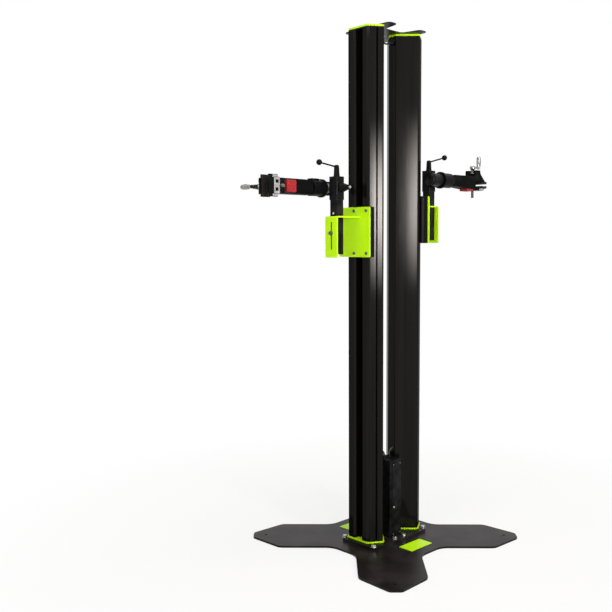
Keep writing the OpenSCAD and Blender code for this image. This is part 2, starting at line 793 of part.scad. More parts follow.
module crank_grip(side) {
    z = crank_z + crank_t + sliding;
    color(silver) on_jaw(side) translate([spindle_at + crank_r, 0, z]) difference() {
        rod_z(0, grip_l, grip_d);
        rod_z(-1, grip_l + 2, grip_pin_d + 2 * running);
    }
}

// Control box between the columns, with its cables into the backs of the columns
box_y = -8;
gland_x = 14;
gland_y = -10;
gland_d = 14;
gland_h = 10;
box_r = 8;
cover_in = 7;
cover_t = 3;
module control_box() {
    r = box_r;
    w = box_w / 2;
    outline = [[-box_l / 2, box_y - w, r], [box_l / 2, box_y - w, r],
        [box_l / 2, box_y + w, r], [-box_l / 2, box_y + w, r]];
    color(black) {
        slab_z(foot_z, box_h, outline);
        for (s = [-1, 1]) translate([s * gland_x, gland_y, foot_z + box_h]) rod_z(0, gland_h, gland_d);
    }
}
module control_box_cover() {
    w = box_l / 2 - cover_in;
    r = cover_in / 2;
    low = foot_z + cover_in;
    high = foot_z + box_h - cover_in;
    face = [[-w, low, r], [w, low, r], [w, high, r], [-w, high, r]];
    color(black) slab_y(box_y - box_w / 2 - cover_t, cover_t, face);
}

// A quarter bend of cable from each gland into the back of its column, and one that sags between the columns
link_sag = 10;
link_z = column_top - 20;
link_steps = 16;
link_sides = 8;
function link_x(i) = -column_back + column_gap * i / link_steps;
function link_mid(i) = [link_x(i), 0, link_z - link_sag * (1 + cos(180 * link_x(i) / column_back)) / 2];
function link_tilt(i) = atan(link_sag * PI / 2 / column_back * sin(180 * link_x(i) / column_back));
function link_ring(i) = [for (k = [0 : link_sides - 1])
    let (a = 360 * k / link_sides, tilt = link_tilt(i))
    link_mid(i) + cable_d / 2 * [-sin(tilt) * sin(a), cos(a), cos(tilt) * sin(a)]];
function link_band(i) = [for (k = [0 : link_sides - 1])
    let (a = i * link_sides + k, b = i * link_sides + (k + 1) % link_sides)
    each [[a, b + link_sides, b], [a, a + link_sides, b + link_sides]]];
module cables() {
    bend = column_back - gland_x;
    first = [for (k = [0 : link_sides - 1]) k];
    last = [for (k = [link_sides - 1 : -1 : 0]) link_steps * link_sides + k];
    color(sheath) {
        for (s = [-1, 1]) translate([s * column_back, gland_y, foot_z + box_h + gland_h])
            rotate([90, s < 0 ? 0 : -90, 0]) rotate_extrude(angle = 90)
                translate([bend, 0]) circle(d = cable_d);
        polyhedron([for (i = [0 : link_steps]) each link_ring(i)],
            concat([for (i = [0 : link_steps - 1]) each link_band(i)], [first, last]));
    }
}

floor_plate();
label_plates();
column_flange();
flange_bolts();
top_plate();
top_plate_screws();
control_box();
control_box_cover();
cables();
column("left");  // left_column
foot_plate("left");  // left_foot_plate
cap("left");  // left_cap
lead_screw("left");  // left_lead_screw
motor("left");  // left_motor
top_bearing("left");  // left_top_bearing
carriage("left");  // left_carriage
glide_shoes("left");  // left_glide_shoes
lead_nut("left");  // left_lead_nut
bracket("left");  // left_bracket
bracket_screws("left");  // left_bracket_screws
post("left");  // left_post
head("left");  // left_head
lever("left");  // left_lever
lever_ball("left");  // left_lever_ball
knob("left");  // left_knob
arm_shaft("left");  // left_arm_shaft
shaft_cap("left");  // left_shaft_cap
collar("left");  // left_collar
clamp_body("left");  // left_clamp_body
release_button("left");  // left_release_button
fixed_pad("left");  // left_fixed_pad
moving_jaw("left");  // left_moving_jaw
moving_pad("left");  // left_moving_pad
crank("left");  // left_crank
crank_grip("left");  // left_crank_grip
column("right");  // right_column
foot_plate("right");  // right_foot_plate
cap("right");  // right_cap
lead_screw("right");  // right_lead_screw
motor("right");  // right_motor
top_bearing("right");  // right_top_bearing
carriage("right");  // right_carriage
glide_shoes("right");  // right_glide_shoes
lead_nut("right");  // right_lead_nut
bracket("right");  // right_bracket
bracket_screws("right");  // right_bracket_screws
post("right");  // right_post
head("right");  // right_head
lever("right");  // right_lever
lever_ball("right");  // right_lever_ball
arm_shaft("right");  // right_arm_shaft
shaft_cap("right");  // right_shaft_cap
collar("right");  // right_collar
clamp_body("right");  // right_clamp_body
release_button("right");  // right_release_button
fixed_pad("right");  // right_fixed_pad
moving_jaw("right");  // right_moving_jaw
moving_pad("right");  // right_moving_pad
crank("right");  // right_crank
crank_grip("right");  // right_crank_grip
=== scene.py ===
import bpy, bmesh, json, math
from mathutils import Matrix, Vector


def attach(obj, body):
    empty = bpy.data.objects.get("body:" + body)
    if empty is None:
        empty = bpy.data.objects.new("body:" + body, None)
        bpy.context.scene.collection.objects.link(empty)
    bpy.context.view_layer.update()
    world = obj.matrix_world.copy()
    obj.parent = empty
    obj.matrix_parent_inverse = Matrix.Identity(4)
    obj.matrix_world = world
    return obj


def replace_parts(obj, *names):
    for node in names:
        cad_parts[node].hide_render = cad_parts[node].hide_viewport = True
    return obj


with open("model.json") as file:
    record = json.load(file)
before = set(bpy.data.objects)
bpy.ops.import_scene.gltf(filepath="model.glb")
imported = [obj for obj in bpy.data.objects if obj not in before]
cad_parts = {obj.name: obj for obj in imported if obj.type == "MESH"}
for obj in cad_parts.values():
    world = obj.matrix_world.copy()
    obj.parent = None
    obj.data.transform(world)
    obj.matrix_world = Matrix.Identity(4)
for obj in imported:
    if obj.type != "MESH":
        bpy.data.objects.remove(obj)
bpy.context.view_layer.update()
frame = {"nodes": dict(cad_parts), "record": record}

mm = 0.001
bodyOf = {node: body for body, nodes in frame["record"]["behaviour"]["bodies"].items() for node in nodes}
slotOf = {part["node"]: part["material_slot"] for part in frame["record"]["subparts"]}
print("frame loaded:", len(bodyOf), "nodes")

# finishes: two tones, grains and patches per metre, roughness range, bump strength
blackPaint = dict(dark=(0.0024, 0.0024, 0.0026), pale=(0.0046, 0.0044, 0.0044), grain=900, patch=22,
                  rough=(0.28, 0.38), bump=0.06, metal=0.0, specular=0.055, wearAndHighlight=0.06)
limePaint = dict(dark=(0.46, 0.83, 0.002), pale=(0.54, 0.92, 0.004), grain=800, patch=14,
                 rough=(0.30, 0.44), bump=0.07, metal=0.0, specular=0.2)
finishes = {
    "floor_paint": dict(dark=(0.0075, 0.0054, 0.0054), pale=(0.0120, 0.0090, 0.0090), grain=620, patch=9,
                        rough=(0.28, 0.38), bump=0.10, metal=0.0, specular=0.11, wearAndHighlight=0.10),
    "black_paint": blackPaint,
    "clampPaint": dict(blackPaint, rough=(0.40, 0.52), specular=0.015),
    # anodised: hollow is the dark colour painted into the grooves as shade
    "anodised": dict(dark=(0.0100, 0.0096, 0.0094), pale=(0.0160, 0.0153, 0.0148), grain=520, patch=48,
                     rough=(0.06, 0.09), bump=0.025, metal=0.65, specular=0.0, rim=0.12,
                     draw=(1, 1, 0.012), drift=(1, 1, 0.02), hollow=(0.0012, 0.0012, 0.0012)),
    "lime_paint": limePaint,
    # the foot plates' sides are darkened below a line, a painted shade
    "limeFootPaintedShade": dict(limePaint, under=(0.020, 0.034, 0.001), line=(0.0268, 0.0284)),
    "limeCap": dict(limePaint, under=(0.008, 0.010, 0.001), line=(1.9850, 1.9862)),
    "zinc": dict(dark=(0.30, 0.30, 0.295), pale=(0.54, 0.53, 0.51), grain=700, patch=60,
                 rough=(0.22, 0.42), bump=0.06, metal=1.0, specular=0.5),
    "silver": dict(dark=(0.240, 0.236, 0.232), pale=(0.500, 0.491, 0.483), grain=900, patch=60,
                   rough=(0.16, 0.28), bump=0.04, metal=0.55, specular=0.5, draw=(0.06, 1, 1)),
    "chrome": dict(dark=(0.165, 0.162, 0.159), pale=(0.430, 0.422, 0.415), grain=900, patch=60,
                   rough=(0.12, 0.22), bump=0.03, metal=0.88, specular=0.5),
    "shaftSteel": dict(dark=(0.58, 0.57, 0.56), pale=(0.78, 0.77, 0.75), grain=700, patch=40,
                       rough=(0.34, 0.48), bump=0.05, metal=0.5, specular=0.5, draw=(1, 0.05, 1)),
    "iron": dict(dark=(0.06, 0.063, 0.07), pale=(0.13, 0.135, 0.145), grain=400, patch=30,
                 rough=(0.45, 0.65), bump=0.20, metal=0.6, specular=0.5),
    "brass": dict(dark=(0.52, 0.36, 0.13), pale=(0.72, 0.54, 0.25), grain=700, patch=40,
                  rough=(0.20, 0.38), bump=0.05, metal=1.0, specular=0.5),
    "nylon": dict(dark=(0.70, 0.69, 0.64), pale=(0.84, 0.83, 0.79), grain=500, patch=25,
                  rough=(0.40, 0.55), bump=0.06, metal=0.0, specular=0.5),
    "black_plastic": dict(dark=(0.0032, 0.0032, 0.0034), pale=(0.0062, 0.0060, 0.0062), grain=1100, patch=30,
                          rough=(0.34, 0.48), bump=0.14, metal=0.0, specular=0.055, wearAndHighlight=0.10),
    "red_plastic": dict(dark=(0.25, 0.009, 0.012), pale=(0.31, 0.014, 0.017), grain=800, patch=45,
                        rough=(0.30, 0.40), bump=0.02, metal=0.0, specular=0.25),
    "pad_rubber": dict(dark=(0.028, 0.0045, 0.006), pale=(0.060, 0.011, 0.013), grain=900, patch=50,
                       rough=(0.55, 0.75), bump=0.18, metal=0.0, specular=0.35),
    "jawRubber": dict(dark=(0.0100, 0.0080, 0.0074), pale=(0.0210, 0.0170, 0.0160), grain=900, patch=50,
                      rough=(0.55, 0.75), bump=0.18, metal=0.0, specular=0.20),
    "sheath": dict(dark=(0.010, 0.010, 0.011), pale=(0.020, 0.020, 0.021), grain=1200, patch=60,
                   rough=(0.48, 0.62), bump=0.10, metal=0.0, specular=0.4),
}
bumpDepth = 0.0004
noiseDetail = dict(grain=3, patch=4)
flecks = dict(most=0.5, span=(0.4, 0.75))
# convex edges turn lighter: edge wear that also paints a highlight along them
edgeWearAndHighlight = dict(ridge=(0.53, 0.62), patch=(0.42, 0.62), gain=4, brighter=3, lift=0.03)
# ambient occlusion reach and samples, the range of it that becomes painted shade in grooves, and how dull they get
grooveShading = dict(reach=0.012, samples=8, light=(0.72, 0.95), dull=0.6)


def addNode(tree, kind, **values):
    step = tree.nodes.new(kind)
    for name, value in values.items():
        setattr(step, name, value)
    return step


def sums(tree, operation, first, second):
    step = addNode(tree, "ShaderNodeMath", operation=operation)
    for socket, value in zip(step.inputs, (first, second)):
        tree.links.new(value, socket)
    return step.outputs[0]


def noiseField(tree, coords, scale, detail, stretch=(1, 1, 1)):
    place = addNode(tree, "ShaderNodeMapping")
    place.inputs["Scale"].default_value = stretch
    tree.links.new(coords, place.inputs["Vector"])
    field = addNode(tree, "ShaderNodeTexNoise")
    field.inputs["Scale"].default_value = scale
    field.inputs["Detail"].default_value = detail
    tree.links.new(place.outputs["Vector"], field.inputs["Vector"])
    return field.outputs["Fac"]


def spread(tree, value, low, high, start=0.3, end=0.7):
    span = addNode(tree, "ShaderNodeMapRange")
    span.inputs["From Min"].default_value = start
    span.inputs["From Max"].default_value = end
    span.inputs["To Min"].default_value = low
    span.inputs["To Max"].default_value = high
    tree.links.new(value, span.inputs["Value"])
    return span.outputs["Result"]


def toneMix(tree, factor, first, second):
    mix = addNode(tree, "ShaderNodeMix", data_type="RGBA")
    tree.links.new(factor, mix.inputs["Factor"])
    for socket, tone in ((mix.inputs[6], first), (mix.inputs[7], second)):
        if isinstance(tone, tuple):
            socket.default_value = (*tone, 1)
        else:
            tree.links.new(tone, socket)
    return mix.outputs[2]


def split(tree, vector):
    parts = addNode(tree, "ShaderNodeSeparateXYZ")
    tree.links.new(vector, parts.inputs[0])
    return parts.outputs


def makeFinish(name, look):
    mat = bpy.data.materials.new(name)
    mat.use_nodes = True
    tree = mat.node_tree
    shader = tree.nodes["Principled BSDF"]
    coords = addNode(tree, "ShaderNodeTexCoord").outputs["Object"]
    grain = noiseField(tree, coords, look["grain"], noiseDetail["grain"], look.get("draw", (1, 1, 1)))
    patch = noiseField(tree, coords, look["patch"], noiseDetail["patch"], look.get("drift", (1, 1, 1)))
    tone = toneMix(tree, spread(tree, patch, 0, 1), look["dark"], look["pale"])
    tone = toneMix(tree, spread(tree, grain, 0, flecks["most"], *flecks["span"]), tone, look["pale"])
    if "wearAndHighlight" in look:  # convex edges turn lighter: edge wear, and also a painted edge highlight
        ridge = addNode(tree, "ShaderNodeNewGeometry").outputs["Pointiness"]
        rubAndHighlight = sums(tree, "MULTIPLY", spread(tree, ridge, 0, 1, *edgeWearAndHighlight["ridge"]),
                   spread(tree, patch, 0, look["wearAndHighlight"] * edgeWearAndHighlight["gain"], *edgeWearAndHighlight["patch"]))
        wornAndHighlitTone = tuple(min(1, c * edgeWearAndHighlight["brighter"] + edgeWearAndHighlight["lift"]) for c in look["pale"])
        tone = toneMix(tree, rubAndHighlight, tone, wornAndHighlitTone)
    if "under" in look:  # below a height line the lime turns dark: on the foot plates this is painted shade on their sides, on the caps a dark lower edge
        height = split(tree, coords)["Z"]
        tone = toneMix(tree, spread(tree, height, 0, 1, *look["line"]), look["under"], tone)
    rough = spread(tree, grain, *look["rough"])
    if "hollow" in look:  # ambient occlusion darkens the grooves inside, a painted shade, and keeps them dull
        shade = addNode(tree, "ShaderNodeAmbientOcclusion", only_local=True, samples=grooveShading["samples"])
        shade.inputs["Distance"].default_value = grooveShading["reach"]
        inShadeMask = spread(tree, shade.outputs["AO"], 1, 0, *grooveShading["light"])
        tone = toneMix(tree, inShadeMask, tone, look["hollow"])
        rough = sums(tree, "MAXIMUM", rough, spread(tree, inShadeMask, 0, grooveShading["dull"]))
    tree.links.new(tone, shader.inputs["Base Color"])
    tree.links.new(rough, shader.inputs["Roughness"])
    relief = addNode(tree, "ShaderNodeBump")
    relief.inputs["Strength"].default_value = look["bump"]
    relief.inputs["Distance"].default_value = bumpDepth
    tree.links.new(grain, relief.inputs["Height"])
    tree.links.new(relief.outputs["Normal"], shader.inputs["Normal"])
    shader.inputs["Metallic"].default_value = look["metal"]
    shader.inputs["Specular IOR Level"].default_value = look["specular"]
    rim = look.get("rim", 1)
    shader.inputs["Specular Tint"].default_value = (rim, rim, rim, 1)
    return mat


finish = {name: makeFinish(name, look) for name, look in finishes.items()}
print("finishes made:", len(finish))

# carried-over solids: bevel widths in mm by kind, and the kinds that have a finish of their own
bevels = {"clamp_body": 1.6, "moving_jaw": 1.4, "bracket": 0.7, "control_box": 1.5, "head": 1.0, "collar": 1.2,
          "shaft_cap": 1.0, "carriage": 1.0, "foot_plate": 1.2, "cap": 1.0, "floor_plate": 1.2,
          "column_flange": 1.0, "top_plate": 0.6, "lever": 0.8, "release_button": 2.0, "post": 1.4,
          "control_box_cover": 0.8, "label_plates": 0.3}
bevelling = dict(flatAngle=1, edgeAngle=40, segments=2)
ownFinish = {"arm_shaft": "shaftSteel", "fixed_pad": "jawRubber", "moving_pad": "jawRubber",
             "foot_plate": "limeFootPaintedShade", "cap": "limeCap", "clamp_body": "clampPaint", "moving_jaw": "clampPaint"}
for node in bodyOf:
    shell = frame["nodes"][node]
    kind = node.split("_", 1)[1] if node.startswith(("left_", "right_")) else node
    shell.data.materials.clear()
    shell.data.materials.append(finish[ownFinish.get(kind, slotOf[node])])
    if kind in bevels:
        flat = shell.modifiers.new("flat", "DECIMATE")
        flat.decimate_type = "DISSOLVE"
        flat.angle_limit = math.radians(bevelling["flatAngle"])
        edge = shell.modifiers.new("edge", "BEVEL")
        edge.width = bevels[kind] * mm
        edge.segments = bevelling["segments"]
        edge.limit_method = "ANGLE"
        edge.angle_limit = math.radians(bevelling["edgeAngle"])
        edge.harden_normals = True
print("solids dressed")

creaseAngle = 35
mergeDistance = 0.001


def putPiece(name, bm, body, slotName, place, look=None):
    bmesh.ops.transform(bm, matrix=place, verts=bm.verts)
    bmesh.ops.recalc_face_normals(bm, faces=bm.faces)
    mesh = bpy.data.meshes.new(name)
    bm.to_mesh(mesh)
    bm.free()
    mesh.polygons.foreach_set("use_smooth", [True] * len(mesh.polygons))
    mesh.set_sharp_from_angle(angle=math.radians(creaseAngle))
    mesh.materials.append(finish[look or slotName])
    piece = bpy.data.objects.new(name, mesh)
    bpy.context.scene.collection.objects.link(piece)
    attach(piece, body)
    return piece


def hexReach(flats, angle):
    return flats / 2 / math.cos((angle + math.pi / 6) % (math.pi / 3) - math.pi / 6)


# turn a profile of (radius, height) about Z; a radius may be a function of the angle
def turned(bm, profile, steps, at):
    rings = []
    for radius, z in profile:
        ring = []
        for i in range(1 if radius == 0 else steps):
            a = 2 * math.pi * i / steps
            r = radius(a) if callable(radius) else radius
            ring.append(bm.verts.new(at @ Vector((r * math.cos(a), r * math.sin(a), z))))
        rings.append(ring)
    for low, high in zip(rings, rings[1:]):
        for i in range(steps):
            k = (i + 1) % steps
            if len(low) == 1 and len(high) > 1:
                bm.faces.new((low[0], high[i], high[k]))
            elif len(high) == 1 and len(low) > 1:
                bm.faces.new((low[i], low[k], high[0]))
            elif len(low) > 1:
                bm.faces.new((low[i], low[k], high[k], high[i]))


# hex head with a chamfer and a shallow dish, the washer under it, and the dome of a button head
hexHead = dict(chamferFrom=0.78, chamfer=0.5, dishRim=0.36, dishFoot=0.33, dishDeep=0.3, washerEdge=0.4)
buttonDome = ((1, 0), (1, 0.3), (0.94, 0.62), (0.8, 0.88), (0.66, 1))
buttonSocket = dict(deep=0.3, point=0.25)
headSteps = 48


def hexBolt(bm, at, flats, high, washer, washerHigh):
    def hexagon(a):
        return hexReach(flats, a)
    r, edge = washer / 2, hexHead["washerEdge"]
    turned(bm, [(0, 0), (r - edge, 0), (r, edge), (r, washerHigh - edge), (r - edge, washerHigh),
                (0, washerHigh)], headSteps, at)
    z, top = washerHigh, washerHigh + high
    dish = top - hexHead["dishDeep"]
    turned(bm, [(0, z), (hexagon, z), (hexagon, z + high * hexHead["chamferFrom"]), (flats * hexHead["chamfer"], top),
                (flats * hexHead["dishRim"], top), (flats * hexHead["dishFoot"], dish), (0, dish)], headSteps, at)


def socketScrew(bm, at, wide, high, key):
    def socket(a):
        return hexReach(key, a)
    dome = [(wide / 2 * r, high * z) for r, z in buttonDome]
    turned(bm, [(0, 0)] + dome + [(socket, high), (socket, high * buttonSocket["deep"]),
                                  (0, high * buttonSocket["point"])], headSteps, at)


def roundEdges(bm, edges, offset, segments):
    once = list(dict.fromkeys(edges))  # an edge comes from more than one face or corner
    bmesh.ops.bevel(bm, geom=once, offset=offset, segments=segments, affect="EDGES", profile=0.5)


def block(bm, low, high, edgeRound, segments=2):
    middle = Matrix.Translation((Vector(low) + Vector(high)) / 2)
    size = Matrix.Diagonal((*(b - a for a, b in zip(low, high)), 1))
    made = bmesh.ops.create_cube(bm, size=1, matrix=middle @ size)
    roundEdges(bm, (e for v in made["verts"] for e in v.link_edges), edgeRound, segments)


# flat plate cut into cells, with some cells left open
def openPlate(bm, xs, ys, left, low, high):
    kept = {(i, k) for i in range(len(xs) - 1) for k in range(len(ys) - 1)} - set(left)
    knots = {}

    def knot(i, k, z):
        if (i, k, z) not in knots:
            knots[i, k, z] = bm.verts.new((xs[i], ys[k], z))
        return knots[i, k, z]
    for i, k in kept:
        ring = [(i, k), (i + 1, k), (i + 1, k + 1), (i, k + 1)]
        bm.faces.new([knot(*p, high) for p in ring])
        bm.faces.new([knot(*p, low) for p in reversed(ring)])
        sides = zip(ring, ring[1:] + ring[:1])
        for (a, b), beside in zip(sides, ((i, k - 1), (i + 1, k), (i, k + 1), (i - 1, k))):
            if beside not in kept:
                bm.faces.new((knot(*a, low), knot(*b, low), knot(*b, high), knot(*a, high)))


# a screw thread: rings to a turn, points to a ring, and the slope of its flanks
threadForm = dict(rings=6, points=24, slope=1.6, flat=0.3)


def threaded(bm, at, crest, deep, pitch, low, high):
    points = threadForm["points"]
    count = int((high - low) / pitch * threadForm["rings"])
    rings = []
    for n in range(count + 1):
        z = low + (high - low) * n / count
        ring = []
        for i in range(points):
            a = 2 * math.pi * i / points
            phase = abs(((z / pitch - i / points) % 1) - 0.5) * 2
            r = crest - deep + deep * min(1, max(0, phase * threadForm["slope"] - threadForm["flat"]))
            ring.append(bm.verts.new(at @ Vector((r * math.cos(a), r * math.sin(a), z))))
        rings.append(ring)
    for one, two in zip(rings, rings[1:]):
        for i in range(points):
            k = (i + 1) % points
            bm.faces.new((one[i], one[k], two[k], two[i]))
    bm.faces.new(list(reversed(rings[0])))
    bm.faces.new(rings[-1])


# where each lift stands at rest, in metres, and the gap at its jaws in mm; on an arm s runs outward and t the way
# the jaw opens
liftAt = {"left": dict(axis=1.390, drawn=0.022, gap=30), "right": dict(axis=1.440, drawn=0.0, gap=8)}
postOut, axisSide, axisHigh = 0.2735, 0.056, 0.256
millimetres = Matrix.Scale(mm, 4)
towardX = Matrix.Rotation(math.radians(90), 4, "Y")
towardY = Matrix.Rotation(math.radians(-90), 4, "X")
awayY = Matrix.Rotation(math.radians(90), 4, "X")


def armPlace(side, rise=0):
    at = liftAt[side]
    reach = postOut + at["drawn"]
    if side == "left":
        rows = ((-1, 0, 0, -reach), (0, 0, 1, axisSide + rise * mm), (0, 1, 0, at["axis"]), (0, 0, 0, 1))
    else:
        rows = ((1, 0, 0, reach), (0, 1, 0, -axisSide), (0, 0, 1, at["axis"] + rise * mm), (0, 0, 0, 1))
    return Matrix(rows) @ millimetres


def jawPlace(side):
    return armPlace(side, liftAt[side]["gap"])


def liftPlace(side):  # from the middle of the columns, at the foot of the bracket
    at = liftAt[side]
    spin = Matrix.Rotation(math.pi if side == "left" else 0, 4, "Z")
    return Matrix.Translation((0, 0, at["axis"] - axisHigh)) @ spin @ millimetres


def moved(*p):
    return Matrix.Translation(p)


# the two cables at the control box and the link between the column tops, in metres
cableLook = dict(diameter=0.0065, gland=(0.014, -0.010, 0.338), columnBack=0.040, bend=0.026,
                 linkHeight=1.962, sag=0.010, boxSteps=24, linkSteps=40, roundness=5)


def cable(name, points):
    line = bpy.data.curves.new(name, "CURVE")
    line.dimensions = "3D"
    line.bevel_depth = cableLook["diameter"] / 2
    line.bevel_resolution = cableLook["roundness"]
    line.resolution_u = 1
    spline = line.splines.new("POLY")
    spline.points.add(len(points) - 1)
    for knot, p in zip(spline.points, points):
        knot.co = (*p, 1)
    line.use_fill_caps = True
    line.materials.append(finish["sheath"])
    piece = bpy.data.objects.new(name, line)
    bpy.context.scene.collection.objects.link(piece)
    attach(piece, "frame")
    return piece


def boxCable(sign):
    gx, gy, gz = cableLook["gland"]
    r = cableLook["bend"]
    points = []
    for i in range(cableLook["boxSteps"] + 1):
        a = math.pi / 2 * i / cableLook["boxSteps"]
        points.append((sign * (gx + r * (1 - math.cos(a))), gy, gz + r * math.sin(a)))
    return points


def linkPoints():
    back = cableLook["columnBack"]
    points = []
    for i in range(cableLook["linkSteps"] + 1):
        x = -back + 2 * back * i / cableLook["linkSteps"]
        drop = cableLook["sag"] * (1 + math.cos(math.pi * x / back)) / 2
        points.append((x, 0, cableLook["linkHeight"] - drop))
    return points


cables = [cable("leftBoxCable", boxCable(-1)), cable("rightBoxCable", boxCable(1)), cable("linkCable", linkPoints())]
for piece in cables:
    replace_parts(piece, "cables")
print("cables laid:", len(cables))

# from here to the studio, lengths are in mm

# hex bolts with washers round the flange, each turned a little further than the last
flangeBolts = dict(places=[(x, y) for x in (-152, -27, 27, 152) for y in (-76, 76)], seat=18, flats=17, high=7,
                   washer=21, washerHigh=2, turn=1.3)
bm = bmesh.new()
for n, (x, y) in enumerate(flangeBolts["places"]):
    at = moved(x, y, flangeBolts["seat"]) @ Matrix.Rotation(n * flangeBolts["turn"], 4, "Z")
    hexBolt(bm, at, flangeBolts["flats"], flangeBolts["high"], flangeBolts["washer"], flangeBolts["washerHigh"])
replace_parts(putPiece("flangeBolts", bm, "frame", "zinc", millimetres), "flange_bolts")

# button head screws of the top plate
topScrews = dict(places=[(x, y) for x in (-93.02, 93.02) for y in (-62.54, 62.54)], seat=1996, wide=9, high=3, key=3)
bm = bmesh.new()
for x, y in topScrews["places"]:
    socketScrew(bm, moved(x, y, topScrews["seat"]), topScrews["wide"], topScrews["high"], topScrews["key"])
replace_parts(putPiece("topScrews", bm, "frame", "zinc", millimetres), "top_plate_screws")

# screws of the bracket, the bolt through its slot, and a set screw in the post above the strip
bracketScrews = dict(face=179.5, places=[(y, z) for y in (-62, 0, 62) for z in (14, 173)], wide=12, high=4, key=4,
                     boltAt=(303.5, 0, 90), flats=13, boltHigh=5.5, washer=18, washerHigh=1.5,
                     shankFrom=290.5, shankWide=8, threadDeep=0.6, pitch=1.5,
                     setAt=(290.5, 0, 162), setWide=9, setHigh=3, setKey=4)
for side in liftAt:
    look = bracketScrews
    bm = bmesh.new()
    for y, z in look["places"]:
        socketScrew(bm, moved(look["face"], y, z) @ towardX, look["wide"], look["high"], look["key"])
    hexBolt(bm, moved(*look["boltAt"]) @ towardX, look["flats"], look["boltHigh"], look["washer"], look["washerHigh"])
    run = look["boltAt"][0] - look["shankFrom"]
    threaded(bm, moved(look["shankFrom"], 0, look["boltAt"][2]) @ towardX, look["shankWide"] / 2,
             look["threadDeep"], look["pitch"], 0, run)
    piece = putPiece(side + "BracketScrews", bm, side + "_lift", "iron", liftPlace(side))
    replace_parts(piece, side + "_bracket_screws")
    bm = bmesh.new()
    socketScrew(bm, moved(*look["setAt"]) @ towardX, look["setWide"], look["setHigh"], look["setKey"])
    putPiece(side + "PostScrew", bm, side + "_lift", "zinc", liftPlace(side))
print("fasteners set")

# clamp screw with its crank, and the grip that spins on it; profiles are (radius, height)
crankLook = dict(at=230, end=-73, jaw=(-9, 29), stem=6, threadDeep=0.9, pitch=3,
                 ring=((9.4, 0.3), (10, 0.9), (10, 3.7), (9.4, 4.3)),  # on both sides of the jaw
                 hub=[(6.2, 33.6), (6.6, 40), (8.4, 46), (10.6, 49.6), (11.6, 51), (12, 52), (12, 59.6), (11.4, 60.6),
                      (10.4, 61), (7.4, 61), (6.9, 60.2), (5.6, 60.2), (5.2, 61), (3.6, 62), (0, 62.3)],
                 web=(51.6, 60.4), webFrom=4, reach=44, root=9.5, tip=6.2, webRound=2.2, webSegments=3,
                 pin=[(0, 50.6), (6, 50.6), (7.2, 51.6), (7.2, 59.8), (6, 61), (4, 61), (4, 101.6), (5.8, 101.6),
                      (6.5, 102.3), (6.5, 103.6), (5.2, 104.5), (0, 104.7)],
                 gripLow=61.3, gripHigh=101.3, gripBore=4.1, gripEnd=8.6, gripBulge=1.4, gripSteps=40, endEdge=0.9,
                 groove=0.55, grooveFrom=6, grooveEvery=4, hubSteps=48, pinSteps=36, gripSides=40)
boxFaces = ((3, 2, 1, 0), (4, 5, 6, 7), (0, 1, 5, 4), (1, 2, 6, 5), (2, 3, 7, 6), (3, 0, 4, 7))


def crankWeb(bm, look):
    root, tip = look["root"], look["tip"]
    outline = ((look["webFrom"], -root), (look["reach"], -tip), (look["reach"], tip), (look["webFrom"], root))
    corners = [bm.verts.new((look["at"] + s, w, t)) for t in look["web"] for s, w in outline]
    faces = [bm.faces.new([corners[i] for i in ring]) for ring in boxFaces]
    roundEdges(bm, (e for f in faces for e in f.edges), look["webRound"], look["webSegments"])


def gripProfile(look):
    low, high, steps = look["gripLow"], look["gripHigh"], look["gripSteps"]
    first = look["grooveFrom"]
    profile = [(look["gripBore"], low)]
    for n in range(steps + 1):
        u = n / steps
        r = look["gripEnd"] + look["gripBulge"] * math.sin(math.pi * u)
        if n in (0, steps):
            r -= look["endEdge"]
        elif first <= n <= steps - first and (n - first) % look["grooveEvery"] == 0:
            r -= look["groove"]  # turned rings
        profile.append((r, low + (high - low) * u))
    return profile + [(look["gripBore"], high), (look["gripBore"], low)]


for side in liftAt:
    look = crankLook
    low, high = look["jaw"]
    axle, pin = moved(look["at"], 0, 0), moved(look["at"] + look["reach"], 0, 0)
    below = [(r, low - off) for r, off in reversed(look["ring"])]
    above = [(r, high + off) for r, off in look["ring"]]
    bm = bmesh.new()
    threaded(bm, axle, look["stem"], look["threadDeep"], look["pitch"], look["end"], below[0][1])
    putPiece(side + "ClampScrew", bm, side + "_winder", "iron", jawPlace(side))
    bm = bmesh.new()
    neck = [(look["stem"], below[-1][1]), (look["stem"], above[0][1])]
    turned(bm, [(0, below[0][1])] + below + neck + above + look["hub"], look["hubSteps"], axle)
    crankWeb(bm, look)
    turned(bm, look["pin"], look["pinSteps"], pin)
    piece = putPiece(side + "CrankScrew", bm, side + "_winder", "silver", jawPlace(side), "chrome")
    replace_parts(piece, side + "_crank")
    bm = bmesh.new()
    turned(bm, gripProfile(look), look["gripSides"], pin)
    bmesh.ops.remove_doubles(bm, verts=bm.verts, dist=mergeDistance)
    piece = putPiece(side + "CrankHandle", bm, side + "_grip", "silver", jawPlace(side), "chrome")
    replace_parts(piece, side + "_crank_grip")
print("cranks made")

